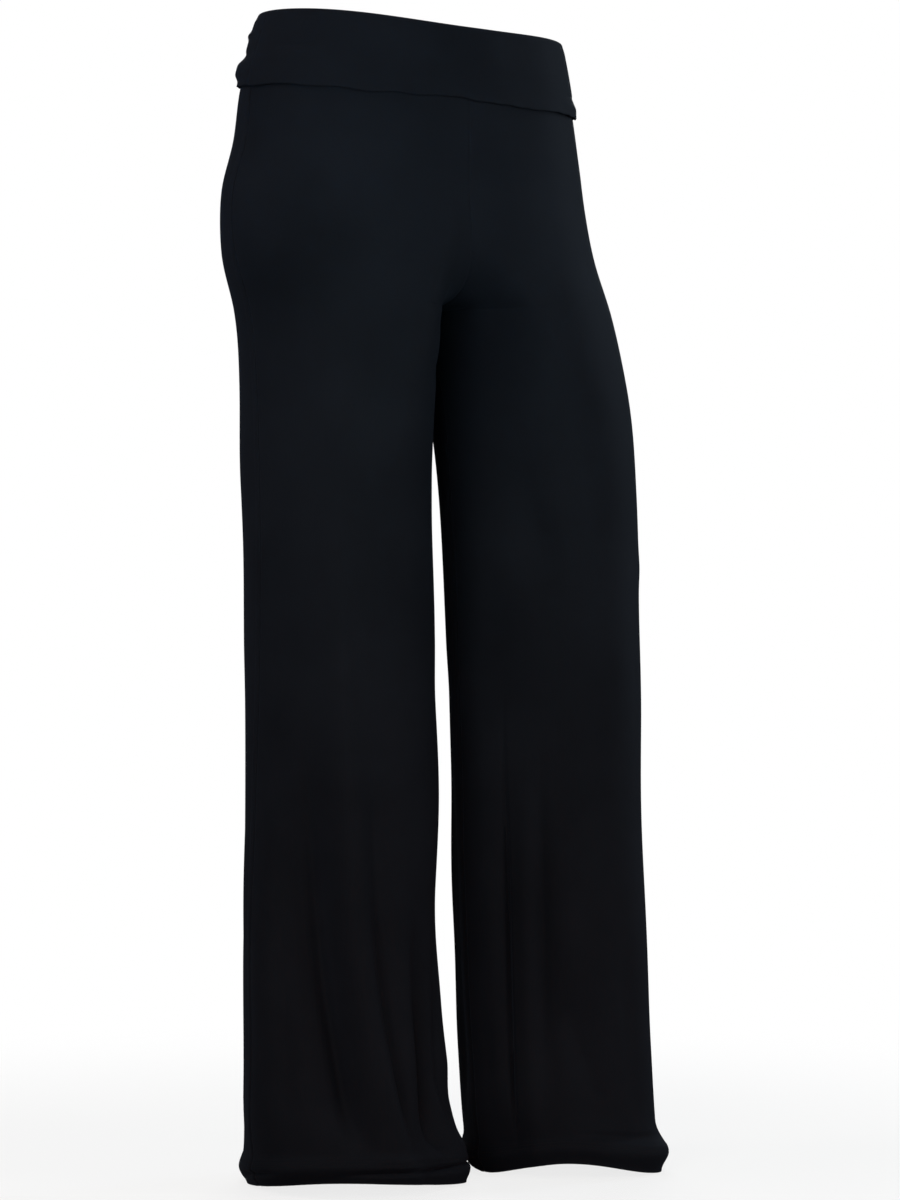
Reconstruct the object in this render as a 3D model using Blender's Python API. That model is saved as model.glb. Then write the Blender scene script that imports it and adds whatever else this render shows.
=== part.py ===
"""Palazzo trousers with a folded-over waistband, hollow, as they hang when worn.

Metres, +Z up. The front faces -Y, and the wearer's right leg is the one at -X.
The origin is the centre of the waist opening, in the slanting plane of the band's top fold.

Every piece is a wall of jersey worked out from one body surface. A ring of that surface is named by its
drop below the waist, and a point on the ring by its share of the cloth from the side seam (0) to the
centre seam or, below the crotch, to the inseam (1).
"""

from collections import namedtuple

import bpy
import numpy as np

# Driving sizes
LENGTH = 1.057  # waist opening to floor
RISE = 0.262  # waist opening to crotch
SPLIT_DROP = 0.130  # where the hips' one round starts to turn into two legs
CROTCH_ROUNDING = 0.035  # half width over which the two legs run together
SETTLED_DROP = 0.420  # where each leg's ring is a full one about its own centre
TURN_EASE = 2.2  # above 1, the front keeps straight longer before it turns under
GAP_EASE = 4  # above 1, the legs part more slowly below the crotch
GAP_START = 0.030  # the parting starts gently over this depth
BAND_DEPTH = 0.068  # top fold to the band's lower edge
WAIST_SEAM_DROP = 0.052  # the seam under the fold-over that joins band and legs
CLOTH = 0.0016
HEM_DEPTH = 0.025
HEM_CLOTH = 0.0026  # the hem is turned up once
SEAM_GAP = 0.0003
WAIST_RISE_LEFT = -0.038  # rise of the waist's plane for each metre towards the wearer's left
WAIST_RISE_BACK = 0.094  # and for each metre towards the back
TILT_END_DROP = 0.260  # rings below this one are level
HEM_LIFT_DEPTH = 0.090  # how far up the leg the lift of a hem is felt
RIM_LIFT_DEPTH = 0.160  # how far down the lifts of the top fold are felt
EDGE_LIFT = 0.0025  # the band's lower edge rises a little at the centre front
EDGE_LIFT_PLACE = 0.005  # middle of that rise, from the centre front to the wearer's left
EDGE_LIFT_SPAN = 0.100
EDGE_LIFT_START = 0.030  # drop at which it begins
LEG_COLUMNS = 22  # faces from side seam to inseam, on each panel
RING_SAMPLES = 241

JERSEY_COLOUR = (0.0052, 0.0062, 0.0090, 1.0)
JERSEY_ROUGHNESS = 0.75

# Rings of the body surface. Distances across are from the middle plane between the legs, which stands
# lean to the wearer's left of the origin; front, back and side (the side seam) are along Y.
Section = namedtuple(
    "Section",
    "drop outer_right outer_left gap_right gap_left front back side lean",
)
SECTIONS = (
    Section(0.000, 0.143, 0.150, 0.000, 0.000, -0.112, 0.106, 0.000, 0.003),
    Section(0.032, 0.155, 0.158, 0.000, 0.000, -0.114, 0.109, 0.000, 0.003),
    Section(0.068, 0.164, 0.165, 0.000, 0.000, -0.115, 0.113, 0.000, 0.003),
    Section(0.115, 0.168, 0.172, 0.000, 0.000, -0.117, 0.119, 0.000, 0.002),
    Section(0.160, 0.180, 0.179, 0.000, 0.000, -0.119, 0.125, 0.000, 0.001),
    Section(0.210, 0.184, 0.183, 0.000, 0.000, -0.121, 0.128, 0.000, 0.006),
    Section(0.262, 0.180, 0.188, 0.000, 0.000, -0.123, 0.124, -0.002, 0.016),
    Section(0.330, 0.181, 0.192, 0.011, 0.010, -0.126, 0.109, -0.010, 0.021),
    Section(0.420, 0.184, 0.195, 0.018, 0.015, -0.129, 0.088, -0.022, 0.020),
    Section(0.550, 0.187, 0.197, 0.020, 0.019, -0.134, 0.067, -0.034, 0.018),
    Section(0.700, 0.194, 0.198, 0.0135, 0.019, -0.140, 0.054, -0.043, 0.016),
    Section(0.850, 0.199, 0.201, 0.022, 0.023, -0.146, 0.047, -0.050, 0.014),
    Section(0.950, 0.203, 0.200, 0.015, 0.023, -0.150, 0.043, -0.054, 0.017),
    Section(1.020, 0.207, 0.199, 0.006, 0.0255, -0.153, 0.041, -0.056, 0.020),
    Section(LENGTH, 0.205, 0.199, 0.003, 0.0305, -0.155, 0.040, -0.057, 0.022),
)

# Where the top fold rides up, over the right hip and a little over the left of the belly. way is the
# share of the cloth from the side seam, as in the folds below.
Rise = namedtuple("Rise", "leg way half_span lift")
RISES = (
    Rise("right", 0.32, 0.70, 0.0046),
    Rise("left", 0.45, 0.45, 0.0016),
)

# Soft folds down the legs. way is the share of the cloth from the side seam to the inseam, positive
# over the front and negative over the back, at the fold's top, middle and bottom. Its two half widths
# are those on the side seam's side and on the inseam's. A ridge has a positive height.
Fold = namedtuple(
    "Fold", "leg way_top way_middle way_bottom drop_top drop_bottom side_width seam_width height"
)
FOLDS = (
    Fold("right", 0.205, 0.252, 0.385, 0.60, 1.05, 0.026, 0.022, -0.012),
    Fold("right", 0.320, 0.385, 0.515, 0.44, LENGTH, 0.024, 0.014, 0.011),
    Fold("right", 0.430, 0.475, 0.600, 0.62, 1.05, 0.011, 0.020, -0.011),
    Fold("right", 0.530, 0.560, 0.620, 0.70, 1.02, 0.016, 0.018, 0.003),
    Fold("right", 0.640, 0.665, 0.700, 0.78, 1.05, 0.017, 0.024, -0.014),
    Fold("right", 0.780, 0.785, 0.800, 0.95, LENGTH, 0.026, 0.027, 0.013),
    Fold("right", 0.090, 0.080, 0.070, 0.66, 1.05, 0.026, 0.026, 0.0055),
    Fold("right", -0.240, -0.225, -0.200, 0.56, 1.05, 0.024, 0.018, -0.014),
    Fold("right", -0.400, -0.390, -0.380, 0.44, LENGTH, 0.026, 0.022, 0.010),
    Fold("right", -0.570, -0.560, -0.540, 0.60, 1.04, 0.016, 0.022, -0.013),
    Fold("right", -0.760, -0.745, -0.740, 0.68, LENGTH, 0.024, 0.024, 0.0085),
    Fold("left", 0.808, 0.810, 0.822, 0.58, 1.045, 0.014, 0.010, -0.003),
    Fold("left", 0.890, 0.880, 0.880, 0.66, 1.04, 0.016, 0.016, 0.0045),
    Fold("left", 0.698, 0.705, 0.725, 0.62, 1.03, 0.014, 0.010, -0.0045),
    Fold("left", 0.755, 0.760, 0.770, 0.64, LENGTH, 0.012, 0.012, 0.0025),
    Fold("left", 0.750, 0.700, 0.630, 0.38, 0.56, 0.026, 0.024, -0.0036),
    Fold("left", 0.640, 0.580, 0.510, 0.84, 1.04, 0.024, 0.024, -0.0065),
    Fold("left", 0.370, 0.350, 0.340, 0.70, LENGTH, 0.030, 0.030, 0.006),
    Fold("left", 0.330, 0.325, 0.310, 1.01, LENGTH, 0.034, 0.030, 0.007),
    Fold("left", 0.180, 0.190, 0.200, 0.62, 1.05, 0.022, 0.022, -0.007),
    Fold("left", -0.180, -0.175, -0.170, 0.64, 1.05, 0.022, 0.018, -0.012),
    Fold("left", -0.360, -0.345, -0.330, 0.48, LENGTH, 0.026, 0.024, 0.010),
    Fold("left", -0.520, -0.520, -0.530, 0.58, 1.04, 0.016, 0.022, -0.012),
    Fold("left", -0.720, -0.710, -0.700, 0.54, LENGTH, 0.024, 0.024, 0.0065),
    Fold("left", -0.900, -0.890, -0.880, 0.60, 1.04, 0.018, 0.016, -0.005),
)
FOLD_SWELLS = 0.55  # share of its length over which a fold rises to its full height
FOLD_FADES = 0.8  # and from which it dies away, unless it runs through the hem
FOLD_START_WIDTH = 0.75  # of its half widths, at its top
FOLD_END_WIDTH = 1.15

# The hem is carried up over the foot at the front, and breaks on the floor elsewhere.
Hem = namedtuple("Hem", "way half_span lift roll")
HEMS = {
    "right": Hem(0.35, 0.56, 0.014, 0.004),
    "left": Hem(0.68, 0.42, 0.018, 0.004),
}
HEM_ROLL_HEIGHT = 0.015  # middle of the soft roll above the hem's edge
HEM_ROLL_HALF = 0.009

# Soft rolls that lie along the fold-over band, round the wearer's right side and back. way is as in
# FOLDS, on the half of the band that belongs to that leg.
Roll = namedtuple("Roll", "leg way half_span drop half_depth height")
ROLLS = (
    Roll("right", -0.30, 0.50, 0.050, 0.010, 0.0050),
    Roll("right", -0.36, 0.34, 0.021, 0.005, 0.0025),
    Roll("right", 0.30, 0.26, 0.044, 0.009, 0.0016),
    Roll("left", 0.32, 0.22, 0.062, 0.006, 0.0022),
    Roll("left", -0.44, 0.50, 0.046, 0.010, 0.0035),
    Roll("left", -0.30, 0.30, 0.020, 0.006, 0.0020),
)

# Drops of the rings that each piece has, apart from those through the crotch curve
PANEL_TOP_DROPS = (WAIST_SEAM_DROP + SEAM_GAP, 0.061, BAND_DEPTH, 0.084)
PANEL_LEG_DROPS = (
    0.268, 0.280, 0.300, 0.335, 0.385, 0.440, 0.500, 0.560, 0.620, 0.680, 0.740,
    0.800, 0.855, 0.905, 0.950, 0.990, 1.020, 1.033, 1.042, 1.050, LENGTH,
)  # fmt: skip
CROTCH_RINGS = 8
BAND_DROPS = (0.002, 0.013, 0.021, 0.030, 0.040, 0.050, 0.060, 0.0672)


def smooth(drop, column):
    """A column of SECTIONS as a smooth curve: cubic pieces whose slopes come from the rows beside."""
    drops = np.array([row.drop for row in SECTIONS])
    values = np.array([getattr(row, column) for row in SECTIONS])
    slopes = np.gradient(values, drops)
    row = np.clip(np.searchsorted(drops, drop) - 1, 0, len(drops) - 2)
    span = drops[row + 1] - drops[row]
    t = (drop - drops[row]) / span
    return (
        values[row] * (2 * t**3 - 3 * t**2 + 1)
        + slopes[row] * span * (t**3 - 2 * t**2 + t)
        + values[row + 1] * (3 * t**2 - 2 * t**3)
        + slopes[row + 1] * span * (t**3 - t**2)
    )


def ease(value, start, end):
    """0 before start, 1 after end, and a smooth step between them."""
    t = np.clip((value - start) / (end - start), 0, 1)
    return t * t * (3 - 2 * t)


def bump(value, middle, half_span):
    """1 at the middle, and down to 0 at half_span to both sides, as a cosine wave."""
    return 0.5 + 0.5 * np.cos(np.pi * np.clip(np.abs(value - middle) / half_span, 0, 1))


def ring_shape(drop, leg):
    """What a leg's ring needs, across: its centre, its half widths outwards and inwards, and its end.

    The end is the cosine of the angle at which the ring stops. At the waist it stops on the middle plane,
    as half of one ellipse round the body. Its centre moves out all the way to SETTLED_DROP. The ring's
    end turns under from SPLIT_DROP, and at the crotch it is a whole half turn from the side seam.
    """
    reach = np.hypot(smooth(drop, "outer_" + leg), CROTCH_ROUNDING)
    gap = np.hypot(smooth(drop, "gap_" + leg), CROTCH_ROUNDING) - CROTCH_ROUNDING + 1e-5
    below = np.maximum(drop - RISE, 0)
    parted = 1 - np.exp(-(below**2) / (below + GAP_START) / (GAP_EASE * gap))
    opened = CROTCH_ROUNDING + gap * parted
    centre = CROTCH_ROUNDING * ease(drop, 0, SPLIT_DROP)
    centre += ((reach + opened) / 2 - CROTCH_ROUNDING) * ease(drop, SPLIT_DROP, SETTLED_DROP)
    outward = reach - centre
    turned = np.clip((drop - SPLIT_DROP) / (RISE - SPLIT_DROP), 1e-6, 1) ** TURN_EASE
    inward = np.where(drop > RISE, centre - opened, (centre - CROTCH_ROUNDING) / turned)
    end = np.where(drop > SPLIT_DROP, -turned, (CROTCH_ROUNDING - centre) / outward)
    return centre, outward, inward, end


def ring_points(drop, leg, panel):
    """Points of the body surface, one row for each drop, evenly spaced from side seam to centre.

    A ring is a quarter of an ellipse outside its centre, and up to a quarter of another inside it. Its
    distance across is read as the long side of a right triangle whose short side is CROTCH_ROUNDING, so
    the two legs' rings run together in a soft valley.
    """
    drop = np.asarray(drop)[:, None]
    centre, outward, inward, end = ring_shape(drop, leg)
    side = smooth(drop, "side")
    depth = (smooth(drop, panel) - side) / np.sqrt(1 - np.maximum(end, 0) ** 2)
    angle = np.linspace(0, 1, RING_SAMPLES) * np.arccos(end)
    reach = centre + np.where(np.cos(angle) > 0, outward, inward) * np.cos(angle)
    across = np.sqrt(np.maximum(reach**2 - CROTCH_ROUNDING**2, 0))
    across = across * {"right": -1, "left": 1}[leg] + smooth(drop, "lean")
    along = side + depth * np.sin(angle)
    steps = np.hypot(np.diff(across), np.diff(along))
    travel = np.concatenate([np.zeros_like(drop), np.cumsum(steps, axis=1)], axis=1)
    even = np.linspace(0, 1, LEG_COLUMNS + 1)
    x, y = (
        np.array([np.interp(even * t[-1], t, row) for t, row in zip(travel, values)])
        for values in (across, along)
    )
    z = (WAIST_RISE_LEFT * x + WAIST_RISE_BACK * y) * (1 - ease(drop, BAND_DEPTH, TILT_END_DROP)) - drop
    for rise in RISES:
        if rise.leg == leg:
            shape = bump(even * {"front": 1, "back": -1}[panel], rise.way, rise.half_span)
            z += rise.lift * shape * (1 - ease(drop, 0, RIM_LIFT_DEPTH))
    return np.stack([x, y, z], axis=2)


def girth(points):
    """Length of each row of points."""
    return np.linalg.norm(np.diff(points, axis=1), axis=2).sum(axis=1)[:, None]


def fold_line(fold, t):
    """Share of the cloth at which a fold runs: a parabola through its top, middle and bottom."""
    top, middle, bottom = fold.way_top, fold.way_middle, fold.way_bottom
    return top + (4 * middle - 3 * top - bottom) * t + 2 * (top - 2 * middle + bottom) * t**2


def fold_height(drop, leg, panel, half_girth):
    """How far the folds push the cloth out, for each row and column."""
    drop = np.asarray(drop)[:, None]
    way = np.linspace(0, 1, LEG_COLUMNS + 1) * {"front": 1, "back": -1}[panel]
    height = np.zeros((len(drop), LEG_COLUMNS + 1))
    for fold in FOLDS:
        if fold.leg != leg:
            continue
        t = (drop - fold.drop_top) / (fold.drop_bottom - fold.drop_top)
        apart = ((way - fold_line(fold, np.clip(t, 0, 1)) + 1) % 2 - 1) * half_girth
        on_side = apart * np.sign(fold.way_top) < 0
        width = np.where(on_side, fold.side_width, fold.seam_width)
        width = width * (FOLD_START_WIDTH + (FOLD_END_WIDTH - FOLD_START_WIDTH) * np.clip(t, 0, 1))
        fade = 1 if fold.drop_bottom == LENGTH else 1 - ease(t, FOLD_FADES, 1)
        height += fold.height * np.exp(-((apart / width) ** 2)) * ease(t, 0, FOLD_SWELLS) * fade
    hem = HEMS[leg]
    roll = np.exp(-(((LENGTH - HEM_ROLL_HEIGHT - drop) / HEM_ROLL_HALF) ** 2))
    return height + hem.roll * roll * np.ones_like(way)


def hem_lift(drop, leg, panel):
    """How far the hem is carried up over the foot."""
    hem = HEMS[leg]
    way = np.linspace(0, 1, LEG_COLUMNS + 1) * {"front": 1, "back": -1}[panel]
    low = ease(np.asarray(drop)[:, None], LENGTH - HEM_LIFT_DEPTH, LENGTH)
    return hem.lift * low * bump(way, hem.way, hem.half_span)


def roll_height(drop, leg, panel):
    """How far the band's soft rolls stand out."""
    drop = np.asarray(drop)[:, None]
    way = np.linspace(0, 1, LEG_COLUMNS + 1) * {"front": 1, "back": -1}[panel]
    height = np.zeros((len(drop), LEG_COLUMNS + 1))
    for roll in ROLLS:
        if roll.leg != leg:
            continue
        across = np.exp(-(((drop - roll.drop) / roll.half_depth) ** 2))
        height += roll.height * across * bump(way, roll.way, roll.half_span)
    return height


def edge_lift(drop, leg, panel, half_girth):
    """How far the band's lower part rises at the centre front."""
    if panel == "back":
        return 0
    place = np.linspace(1, 0, LEG_COLUMNS + 1) * half_girth * {"right": -1, "left": 1}[leg]
    low = ease(drop[:, None], EDGE_LIFT_START, BAND_DEPTH)
    return EDGE_LIFT * low * bump(place, EDGE_LIFT_PLACE, EDGE_LIFT_SPAN)


def unit(vectors):
    return vectors / np.maximum(np.linalg.norm(vectors, axis=-1, keepdims=True), 1e-12)


def normals(surface, drop):
    """Outward directions at the points of all four panels, alike on both sides of every seam."""
    below = np.asarray(drop) > RISE + 1e-6
    at_crotch = np.abs(np.asarray(drop) - RISE) < 1e-6
    result = {}
    for (leg, panel), points in surface.items():
        other_leg = {"right": "left", "left": "right"}[leg]
        other_panel = {"front": "back", "back": "front"}[panel]
        behind = surface[leg, other_panel]
        beside = surface[other_leg, panel]
        along = np.empty_like(points)
        along[:, 1:-1] = points[:, 2:] - points[:, :-2]
        along[:, 0] = points[:, 1] - behind[:, 1]
        along[:, -1] = np.where(below[:, None], behind[:, -2], beside[:, -2]) - points[:, -2]
        down = np.gradient(points, axis=0)
        sign = {"right": 1, "left": -1}[leg] * {"front": -1, "back": 1}[panel]
        found = unit(np.cross(along, down) * sign)
        found[at_crotch, -1] = (0, 0, -1)
        result[leg, panel] = found
    return result


def body_surface(drop, with_folds):
    """The outside of all four panels at the given drops, and the directions outwards."""
    pairs = [(leg, panel) for leg in ("right", "left") for panel in ("front", "back")]
    surface = {pair: ring_points(drop, *pair) for pair in pairs}
    outward = normals(surface, drop)
    if not with_folds:
        return surface, outward
    for pair in pairs:
        height = fold_height(drop, *pair, girth(surface[pair]))
        surface[pair] = surface[pair] + outward[pair] * height[..., None]
        surface[pair][..., 2] += hem_lift(drop, *pair)
    return surface, normals(surface, drop)


def seam_trim(points, centre=True):
    """The moves that take half a seam gap off the sides of a piece: the side seam's, and the centre's."""
    moves = np.zeros_like(points)
    moves[:, 0] = unit(points[:, 1] - points[:, 0]) * SEAM_GAP / 2
    if centre:
        moves[:, -1] = unit(points[:, -2] - points[:, -1]) * SEAM_GAP / 2
    return moves


def cut_short(face, points):
    """A face of four corners is split from its first one. This starts it on its shorter diagonal."""
    if len(face) != 4:
        return face
    first, second = (np.linalg.norm(points[face[i]] - points[face[i + 2]]) for i in (0, 1))
    return face if first <= second else face[1:] + face[:1]


def closed_shell(name, loop, cap, turned):
    """A solid from a loop of rows of points, (rows round the wall, columns, 3).

    cap holds the faces that close each end, as row numbers in the order of the loop.
    """
    rows, columns, _ = loop.shape
    here = np.arange(rows * columns).reshape(rows, columns)
    after = np.roll(here, -1, axis=0)
    sides = np.stack([here[:, :-1], after[:, :-1], after[:, 1:], here[:, 1:]], axis=-1)
    faces = sides.reshape(-1, 4).tolist()
    faces += [[int(here[row, 0]) for row in reversed(face)] for face in cap]
    faces += [[int(here[row, -1]) for row in face] for face in cap]
    if turned:
        faces = [face[::-1] for face in faces]
    points = loop.reshape(-1, 3)
    faces = [cut_short(face, points) for face in faces]
    mesh = bpy.data.meshes.new(name)
    mesh.from_pydata(points.tolist(), [], faces)
    mesh.shade_smooth()
    mesh.set_sharp_from_angle(angle=np.radians(50))
    return bpy.data.objects.new(name, mesh)


def panel_drops():
    """Rings of a leg panel, close together where the crotch curve turns under."""
    turn = np.linspace(0, np.pi / 2, CROTCH_RINGS + 1)
    crotch = SPLIT_DROP + (RISE - SPLIT_DROP) * np.sin(turn)
    return np.concatenate([PANEL_TOP_DROPS, crotch, PANEL_LEG_DROPS])


def leg_panel(leg, panel, surface, outward, drop):
    """Front or back of one leg, from the waist seam to the floor, its hem turned up inside."""
    outside = surface[leg, panel]
    thickness = np.where(drop > LENGTH - HEM_DEPTH, HEM_CLOTH, CLOTH)[:, None, None]
    inside = outside - outward[leg, panel] * thickness
    inside[-1, :, 2] = outside[-1, :, 2]
    trim = seam_trim(outside)
    loop = np.concatenate([outside + trim, (inside + trim)[::-1]])
    last = len(loop) - 1
    ladder = [(row, row + 1, last - row - 1, last - row) for row in range(len(loop) // 2 - 1)]
    turned = (leg == "left") != (panel == "back")
    return closed_shell(f"{panel}_panel_{leg}_leg", loop, ladder, turned)


def band_profile():
    """The folded-over band cut through: rows of (drop, distance out, share of the rolls).

    It runs down the outer layer's outside, round its lower edge, up its inside, across to the inner
    layer, down that to the waist seam, and back up the inside to the top fold.
    """
    outer_face = [(drop, SEAM_GAP + CLOTH, 1) for drop in BAND_DROPS]
    lower_edge = [(BAND_DEPTH, SEAM_GAP + CLOTH / 2, 1)]
    outer_back = [(drop, SEAM_GAP, 1) for drop in BAND_DROPS[:0:-1]]
    inner_face = [(0.004, 0, 0), (0.028, 0, 0), (WAIST_SEAM_DROP, 0, 0)]
    inner_back = [(WAIST_SEAM_DROP, -CLOTH, 0), (0.028, -CLOTH, 0), (0.002, -CLOTH, 0)]
    top_fold = [(0.0004, -CLOTH / 2, 0), (0, SEAM_GAP / 2, 0), (0.0004, SEAM_GAP + CLOTH / 2, 0)]
    return np.array(outer_face + lower_edge + outer_back + inner_face + inner_back + top_fold)


def waistband(panel):
    """Front or back of the folded-over band, from side seam to side seam."""
    drop, out, rolled = band_profile().T
    levels, level = np.unique(drop, return_inverse=True)
    surface, outward = body_surface(levels, with_folds=False)
    halves = {}
    for leg in ("right", "left"):
        distance = out[:, None] + roll_height(drop, leg, panel) * rolled[:, None]
        points = surface[leg, panel][level]
        points = points + outward[leg, panel][level] * distance[..., None]
        half_girth = girth(surface[leg, panel])[level]
        points[..., 2] += edge_lift(drop, leg, panel, half_girth) * rolled[:, None]
        halves[leg] = points + seam_trim(points, centre=False)
    loop = np.concatenate([halves["right"], halves["left"][:, -2::-1]], axis=1)
    return closed_shell(f"waistband_{panel}", loop, [range(len(loop))], turned=panel == "back")


def jersey(name):
    material = bpy.data.materials.new(name)
    material.use_nodes = True
    shader = material.node_tree.nodes["Principled BSDF"]
    shader.inputs["Base Color"].default_value = JERSEY_COLOUR
    shader.inputs["Roughness"].default_value = JERSEY_ROUGHNESS
    shader.inputs["Metallic"].default_value = 0.0
    return material


def main():
    for existing in list(bpy.data.objects):
        bpy.data.objects.remove(existing)
    collection = bpy.data.collections.new("palazzo_trousers")
    bpy.context.scene.collection.children.link(collection)

    drop = panel_drops()
    surface, outward = body_surface(drop, with_folds=True)
    pieces = [leg_panel(leg, panel, surface, outward, drop) for leg, panel in surface]
    pieces += [waistband(panel) for panel in ("front", "back")]
    for piece in pieces:
        piece.data.materials.append(jersey(piece.name + "_jersey"))
        collection.objects.link(piece)


main()
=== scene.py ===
import bpy
import numpy as np
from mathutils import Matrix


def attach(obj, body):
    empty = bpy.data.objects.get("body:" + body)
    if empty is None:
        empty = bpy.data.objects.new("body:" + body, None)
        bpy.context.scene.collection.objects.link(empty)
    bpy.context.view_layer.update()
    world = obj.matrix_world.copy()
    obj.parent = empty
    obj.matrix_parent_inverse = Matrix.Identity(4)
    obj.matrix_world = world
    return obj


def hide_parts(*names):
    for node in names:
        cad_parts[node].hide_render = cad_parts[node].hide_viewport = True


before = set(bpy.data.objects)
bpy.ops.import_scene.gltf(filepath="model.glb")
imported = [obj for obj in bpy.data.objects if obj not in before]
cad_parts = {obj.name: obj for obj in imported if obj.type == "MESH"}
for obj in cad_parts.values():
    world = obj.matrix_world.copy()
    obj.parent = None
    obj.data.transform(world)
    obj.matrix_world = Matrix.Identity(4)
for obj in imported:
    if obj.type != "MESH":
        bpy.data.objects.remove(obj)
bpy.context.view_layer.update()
print("model loaded:", len(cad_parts), "pieces")

cut = {  # the cut, and how it hangs
    "length": 1.057,  # waist fold to floor
    "rise": 0.262,  # waist fold to crotch
    "splitDrop": 0.130,  # where one round starts to turn into two legs
    "settledDrop": 0.420,  # where each leg has a full ring about its own centre
    "crotchRounding": 0.035,
    "turnEase": 2.2,  # above 1, the front stays straight longer before it turns under
    "gapEase": 4,  # above 1, the legs part more slowly
    "gapStart": 0.030,  # the parting starts gently over this depth
    "bandDepth": 0.068,
    "waistSeamDrop": 0.052,
    "tiltLeft": -0.038,  # rise of the waist's plane towards the wearer's left
    "tiltBack": 0.094,
    "tiltEndDrop": 0.260,
    # the top fold's rise over each hip: middle and half span in shares of the panel, and height
    "rises": {"right": (0.32, 0.70, 0.0046), "left": (0.45, 0.45, 0.0016)},
    "riseDepth": 0.160,
}

# Rings of the body surface. Outer edge and gap reach across from the middle plane, which stands lean
# to the wearer's left, and front, back and side lie along Y.
ringColumns = ("drop", "outerRight", "outerLeft", "gapRight", "gapLeft", "front", "back", "side", "lean")
bodyRings = (
    (0.000, 0.143, 0.150, 0, 0, -0.112, 0.106, 0, 0.003),
    (0.032, 0.155, 0.158, 0, 0, -0.114, 0.109, 0, 0.003),
    (0.068, 0.164, 0.165, 0, 0, -0.115, 0.113, 0, 0.003),
    (0.115, 0.168, 0.172, 0, 0, -0.117, 0.119, 0, 0.002),
    (0.160, 0.180, 0.179, 0, 0, -0.119, 0.125, 0, 0.001),
    (0.210, 0.184, 0.183, 0, 0, -0.121, 0.128, 0, 0.006),
    (0.262, 0.180, 0.188, 0, 0, -0.123, 0.124, -0.002, 0.016),
    (0.330, 0.181, 0.192, 0.011, 0.010, -0.126, 0.109, -0.010, 0.021),
    (0.420, 0.184, 0.195, 0.018, 0.015, -0.129, 0.088, -0.022, 0.020),
    (0.550, 0.187, 0.197, 0.020, 0.019, -0.134, 0.067, -0.034, 0.018),
    (0.700, 0.194, 0.198, 0.0135, 0.019, -0.140, 0.054, -0.043, 0.016),
    (0.850, 0.199, 0.201, 0.022, 0.023, -0.146, 0.047, -0.050, 0.014),
    (0.950, 0.203, 0.200, 0.015, 0.023, -0.150, 0.043, -0.054, 0.017),
    (1.020, 0.207, 0.199, 0.006, 0.0255, -0.153, 0.041, -0.056, 0.020),
    (1.057, 0.205, 0.199, 0.003, 0.0305, -0.155, 0.040, -0.057, 0.022),
)
bodySections = dict(zip(ringColumns, np.array(bodyRings, float).T))

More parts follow.
